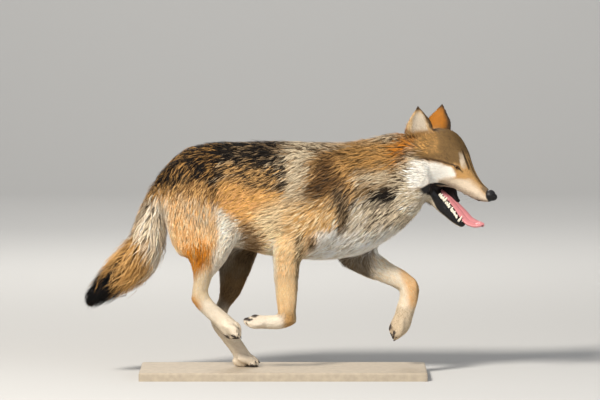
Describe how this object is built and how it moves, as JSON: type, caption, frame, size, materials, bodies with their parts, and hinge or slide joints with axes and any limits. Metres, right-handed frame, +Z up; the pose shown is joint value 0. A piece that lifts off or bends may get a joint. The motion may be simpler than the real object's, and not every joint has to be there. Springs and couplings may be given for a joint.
{
  "type": "wolf model",
  "caption": "Still life-size model of a gray wolf running with its head turned and mouth open, on a plain flat base.",
  "frame": {"origin": "middle of the underside of the base", "axes": "+X is the way the wolf faces, +Y is its left side, +Z is up"},
  "size_m": [1.2311, 0.36, 0.8161],
  "materials": {
    "gray_fawn": "matte fur",
    "saddle": "matte fur",
    "buff": "matte fur",
    "cream": "matte fur",
    "russet": "matte fur",
    "ear_fur": "matte short fur",
    "black_skin": "moist skin",
    "wet_tongue": "wet",
    "eye": "polished",
    "base_board": "satin stain"
  },
  "bodies": {
    "root": {"ear_left": "ear_fur", "ear_right": "ear_fur", "eye_left": "eye", "eye_right": "eye", "forearm_left": "cream", "forearm_right": "cream", "forefoot_left": "cream", "forefoot_right": "cream", "head": "buff", "hindfoot_left": "cream", "hindfoot_right": "cream", "lower_jaw": "cream", "neck": "buff", "nose": "black_skin", "shank_left": "russet", "shank_right": "russet", "shoulder_left": "gray_fawn", "shoulder_right": "gray_fawn", "stand_base": "base_board", "tail_brush": "saddle", "tail_root": "cream", "thigh_left": "buff", "thigh_right": "buff", "tongue": "wet_tongue", "trunk": "gray_fawn"}
  },
  "joints": []
}
